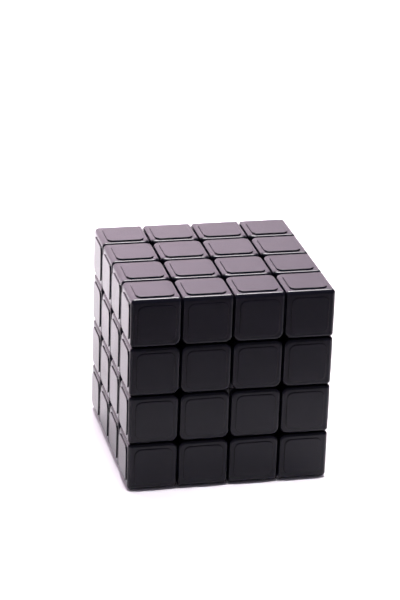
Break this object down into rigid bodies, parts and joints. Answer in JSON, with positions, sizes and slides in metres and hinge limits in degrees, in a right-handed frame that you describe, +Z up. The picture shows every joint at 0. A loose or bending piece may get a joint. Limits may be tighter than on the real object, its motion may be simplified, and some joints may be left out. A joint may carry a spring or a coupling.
{
  "type": "twisty puzzle cube",
  "caption": "Black twisty puzzle cube: square cubies with low raised panels, turning in layers on a hidden core with sprung caps.",
  "frame": {"origin": "centre of the core, which is the centre of the cube", "axes": "+Z up out of the top face, -Y out of the front face, +X out of the right face"},
  "size_m": [0.062, 0.062, 0.062],
  "materials": {
    "cubie_black": "satin moulded black plastic",
    "inner_plastic": "plain moulded black plastic",
    "core_plastic": "plain moulded light plastic",
    "steel": "zinc plated steel"
  },
  "bodies": {
    "core": {"core": "core_plastic", "screws": "steel", "washers": "steel", "springs": "steel", "inner_corners_lower": "inner_plastic"},
    "upper_half": {"inner_corners_upper": "inner_plastic"},
    "top_face": {"cap_top": "inner_plastic", "centres_top": "cubie_black"},
    "bottom_face": {"cap_bottom": "inner_plastic", "centres_bottom": "cubie_black"},
    "front_face": {"cap_front": "inner_plastic", "centres_front_lower": "cubie_black"},
    "back_face": {"cap_back": "inner_plastic", "centres_back_lower": "cubie_black"},
    "left_face": {"cap_left": "inner_plastic", "centres_left_lower": "cubie_black"},
    "right_face": {"cap_right": "inner_plastic", "centres_right_lower": "cubie_black"},
    "front_face_upper": {"centres_front_upper": "cubie_black"},
    "back_face_upper": {"centres_back_upper": "cubie_black"},
    "left_face_upper": {"centres_left_upper": "cubie_black"},
    "right_face_upper": {"centres_right_upper": "cubie_black"},
    "front_left_edge_lower": {"wings_front_left_lower": "cubie_black", "hidden_edge_front_left": "inner_plastic"},
    "front_left_edge_upper": {"wings_front_left_upper": "cubie_black"},
    "bottom_left_edge": {"wings_bottom_left": "cubie_black", "hidden_edge_bottom_left": "inner_plastic"},
    "top_left_edge": {"wings_top_left": "cubie_black", "hidden_edge_top_left": "inner_plastic"},
    "back_left_edge_lower": {"wings_back_left_lower": "cubie_black", "hidden_edge_back_left": "inner_plastic"},
    "back_left_edge_upper": {"wings_back_left_upper": "cubie_black"},
    "bottom_front_edge": {"wings_bottom_front": "cubie_black", "hidden_edge_bottom_front": "inner_plastic"},
    "top_front_edge": {"wings_top_front": "cubie_black", "hidden_edge_top_front": "inner_plastic"},
    "bottom_back_edge": {"wings_bottom_back": "cubie_black", "hidden_edge_bottom_back": "inner_plastic"},
    "top_back_edge": {"wings_top_back": "cubie_black", "hidden_edge_top_back": "inner_plastic"},
    "front_right_edge_lower": {"wings_front_right_lower": "cubie_black", "hidden_edge_front_right": "inner_plastic"},
    "front_right_edge_upper": {"wings_front_right_upper": "cubie_black"},
    "bottom_right_edge": {"wings_bottom_right": "cubie_black", "hidden_edge_bottom_right": "inner_plastic"},
    "top_right_edge": {"wings_top_right": "cubie_black", "hidden_edge_top_right": "inner_plastic"},
    "back_right_edge_lower": {"wings_back_right_lower": "cubie_black", "hidden_edge_back_right": "inner_plastic"},
    "back_right_edge_upper": {"wings_back_right_upper": "cubie_black"},
    "bottom_front_left_corner": {"corner_bottom_front_left": "cubie_black"},
    "top_front_left_corner": {"corner_top_front_left": "cubie_black"},
    "bottom_back_left_corner": {"corner_bottom_back_left": "cubie_black"},
    "top_back_left_corner": {"corner_top_back_left": "cubie_black"},
    "bottom_front_right_corner": {"corner_bottom_front_right": "cubie_black"},
    "top_front_right_corner": {"corner_top_front_right": "cubie_black"},
    "bottom_back_right_corner": {"corner_bottom_back_right": "cubie_black"},
    "top_back_right_corner": {"corner_top_back_right": "cubie_black"}
  },
  "joints": [
    {"name": "turn_upper_half", "type": "hinge", "parent": "core", "child": "upper_half", "pos_m": [0, 0, 0], "axis": [0, 0, 1], "continuous": true},
    {"name": "turn_top", "type": "hinge", "parent": "upper_half", "child": "top_face", "pos_m": [0, 0, 0], "axis": [0, 0, 1], "continuous": true},
    {"name": "turn_bottom", "type": "hinge", "parent": "core", "child": "bottom_face", "pos_m": [0, 0, 0], "axis": [0, 0, -1], "continuous": true},
    {"name": "turn_front", "type": "hinge", "parent": "core", "child": "front_face", "pos_m": [0, 0, 0], "axis": [0, -1, 0], "continuous": true},
    {"name": "turn_back", "type": "hinge", "parent": "core", "child": "back_face", "pos_m": [0, 0, 0], "axis": [0, 1, 0], "continuous": true},
    {"name": "turn_left", "type": "hinge", "parent": "core", "child": "left_face", "pos_m": [0, 0, 0], "axis": [-1, 0, 0], "continuous": true},
    {"name": "turn_right", "type": "hinge", "parent": "core", "child": "right_face", "pos_m": [0, 0, 0], "axis": [1, 0, 0], "continuous": true},
    {"name": "front_face_upper_turn", "type": "hinge", "parent": "upper_half", "child": "front_face_upper", "pos_m": [0, 0, 0], "axis": [0, -1, 0], "continuous": true},
    {"name": "back_face_upper_turn", "type": "hinge", "parent": "upper_half", "child": "back_face_upper", "pos_m": [0, 0, 0], "axis": [0, 1, 0], "continuous": true},
    {"name": "left_face_upper_turn", "type": "hinge", "parent": "upper_half", "child": "left_face_upper", "pos_m": [0, 0, 0], "axis": [-1, 0, 0], "continuous": true},
    {"name": "right_face_upper_turn", "type": "hinge", "parent": "upper_half", "child": "right_face_upper", "pos_m": [0, 0, 0], "axis": [1, 0, 0], "continuous": true},
    {"name": "front_left_edge_lower_turn", "type": "hinge", "parent": "left_face", "child": "front_left_edge_lower", "pos_m": [0, 0, 0], "axis": [0, -1, 0], "continuous": true},
    {"name": "front_left_edge_upper_turn", "type": "hinge", "parent": "left_face_upper", "child": "front_left_edge_upper", "pos_m": [0, 0, 0], "axis": [0, -1, 0], "continuous": true},
    {"name": "bottom_left_edge_turn", "type": "hinge", "parent": "left_face", "child": "bottom_left_edge", "pos_m": [0, 0, 0], "axis": [0, 0, -1], "continuous": true},
    {"name": "top_left_edge_turn", "type": "hinge", "parent": "left_face_upper", "child": "top_left_edge", "pos_m": [0, 0, 0], "axis": [0, 0, 1], "continuous": true},
    {"name": "back_left_edge_lower_turn", "type": "hinge", "parent": "left_face", "child": "back_left_edge_lower", "pos_m": [0, 0, 0], "axis": [0, 1, 0], "continuous": true},
    {"name": "back_left_edge_upper_turn", "type": "hinge", "parent": "back_face_upper", "child": "back_left_edge_upper", "pos_m": [0, 0, 0], "axis": [-1, 0, 0], "continuous": true},
    {"name": "bottom_front_edge_turn", "type": "hinge", "parent": "front_face", "child": "bottom_front_edge", "pos_m": [0, 0, 0], "axis": [0, 0, -1], "continuous": true},
    {"name": "top_front_edge_turn", "type": "hinge", "parent": "top_face", "child": "top_front_edge", "pos_m": [0, 0, 0], "axis": [0, -1, 0], "continuous": true},
    {"name": "bottom_back_edge_turn", "type": "hinge", "parent": "back_face", "child": "bottom_back_edge", "pos_m": [0, 0, 0], "axis": [0, 0, -1], "continuous": true},
    {"name": "top_back_edge_turn", "type": "hinge", "parent": "top_face", "child": "top_back_edge", "pos_m": [0, 0, 0], "axis": [0, 1, 0], "continuous": true},
    {"name": "front_right_edge_lower_turn", "type": "hinge", "parent": "front_face", "child": "front_right_edge_lower", "pos_m": [0, 0, 0], "axis": [1, 0, 0], "continuous": true},
    {"name": "front_right_edge_upper_turn", "type": "hinge", "parent": "front_face_upper", "child": "front_right_edge_upper", "pos_m": [0, 0, 0], "axis": [1, 0, 0], "continuous": true},
    {"name": "bottom_right_edge_turn", "type": "hinge", "parent": "bottom_face", "child": "bottom_right_edge", "pos_m": [0, 0, 0], "axis": [1, 0, 0], "continuous": true},
    {"name": "top_right_edge_turn", "type": "hinge", "parent": "top_face", "child": "top_right_edge", "pos_m": [0, 0, 0], "axis": [1, 0, 0], "continuous": true},
    {"name": "back_right_edge_lower_turn", "type": "hinge", "parent": "right_face", "child": "back_right_edge_lower", "pos_m": [0, 0, 0], "axis": [0, 1, 0], "continuous": true},
    {"name": "back_right_edge_upper_turn", "type": "hinge", "parent": "back_face_upper", "child": "back_right_edge_upper", "pos_m": [0, 0, 0], "axis": [1, 0, 0], "continuous": true},
    {"name": "bottom_front_left_corner_turn", "type": "hinge", "parent": "front_left_edge_lower", "child": "bottom_front_left_corner", "pos_m": [0, 0, 0], "axis": [0, 0, -1], "continuous": true},
    {"name": "top_front_left_corner_turn", "type": "hinge", "parent": "front_left_edge_upper", "child": "top_front_left_corner", "pos_m": [0, 0, 0], "axis": [0, 0, 1], "continuous": true},
    {"name": "bottom_back_left_corner_turn", "type": "hinge", "parent": "back_left_edge_lower", "child": "bottom_back_left_corner", "pos_m": [0, 0, 0], "axis": [0, 0, -1], "continuous": true},
    {"name": "top_back_left_corner_turn", "type": "hinge", "parent": "back_left_edge_upper", "child": "top_back_left_corner", "pos_m": [0, 0, 0], "axis": [0, 0, 1], "continuous": true},
    {"name": "bottom_front_right_corner_turn", "type": "hinge", "parent": "front_right_edge_lower", "child": "bottom_front_right_corner", "pos_m": [0, 0, 0], "axis": [0, 0, -1], "continuous": true},
    {"name": "top_front_right_corner_turn", "type": "hinge", "parent": "front_right_edge_upper", "child": "top_front_right_corner", "pos_m": [0, 0, 0], "axis": [0, 0, 1], "continuous": true},
    {"name": "bottom_back_right_corner_turn", "type": "hinge", "parent": "back_right_edge_lower", "child": "bottom_back_right_corner", "pos_m": [0, 0, 0], "axis": [0, 0, -1], "continuous": true},
    {"name": "top_back_right_corner_turn", "type": "hinge", "parent": "back_right_edge_upper", "child": "top_back_right_corner", "pos_m": [0, 0, 0], "axis": [0, 0, 1], "continuous": true}
  ],
  "couplings": [
    {"joint": "front_face_upper_turn", "follows": "turn_front", "ratio": 1},
    {"joint": "back_face_upper_turn", "follows": "turn_back", "ratio": 1},
    {"joint": "left_face_upper_turn", "follows": "turn_left", "ratio": 1},
    {"joint": "right_face_upper_turn", "follows": "turn_right", "ratio": 1},
    {"joint": "front_left_edge_lower_turn", "follows": "turn_front", "ratio": 1},
    {"joint": "front_left_edge_upper_turn", "follows": "turn_front", "ratio": 1},
    {"joint": "bottom_left_edge_turn", "follows": "turn_bottom", "ratio": 1},
    {"joint": "top_left_edge_turn", "follows": "turn_top", "ratio": 1},
    {"joint": "back_left_edge_lower_turn", "follows": "turn_back", "ratio": 1},
    {"joint": "back_left_edge_upper_turn", "follows": "turn_left", "ratio": 1},
    {"joint": "bottom_front_edge_turn", "follows": "turn_bottom", "ratio": 1},
    {"joint": "top_front_edge_turn", "follows": "turn_front", "ratio": 1},
    {"joint": "bottom_back_edge_turn", "follows": "turn_bottom", "ratio": 1},
    {"joint": "top_back_edge_turn", "follows": "turn_back", "ratio": 1},
    {"joint": "front_right_edge_lower_turn", "follows": "turn_right", "ratio": 1},
    {"joint": "front_right_edge_upper_turn", "follows": "turn_right", "ratio": 1},
    {"joint": "bottom_right_edge_turn", "follows": "turn_right", "ratio": 1},
    {"joint": "top_right_edge_turn", "follows": "turn_right", "ratio": 1},
    {"joint": "back_right_edge_lower_turn", "follows": "turn_back", "ratio": 1},
    {"joint": "back_right_edge_upper_turn", "follows": "turn_right", "ratio": 1},
    {"joint": "bottom_front_left_corner_turn", "follows": "turn_bottom", "ratio": 1},
    {"joint": "top_front_left_corner_turn", "follows": "turn_top", "ratio": 1},
    {"joint": "bottom_back_left_corner_turn", "follows": "turn_bottom", "ratio": 1},
    {"joint": "top_back_left_corner_turn", "follows": "turn_top", "ratio": 1},
    {"joint": "bottom_front_right_corner_turn", "follows": "turn_bottom", "ratio": 1},
    {"joint": "top_front_right_corner_turn", "follows": "turn_top", "ratio": 1},
    {"joint": "bottom_back_right_corner_turn", "follows": "turn_bottom", "ratio": 1},
    {"joint": "top_back_right_corner_turn", "follows": "turn_top", "ratio": 1}
  ]
}
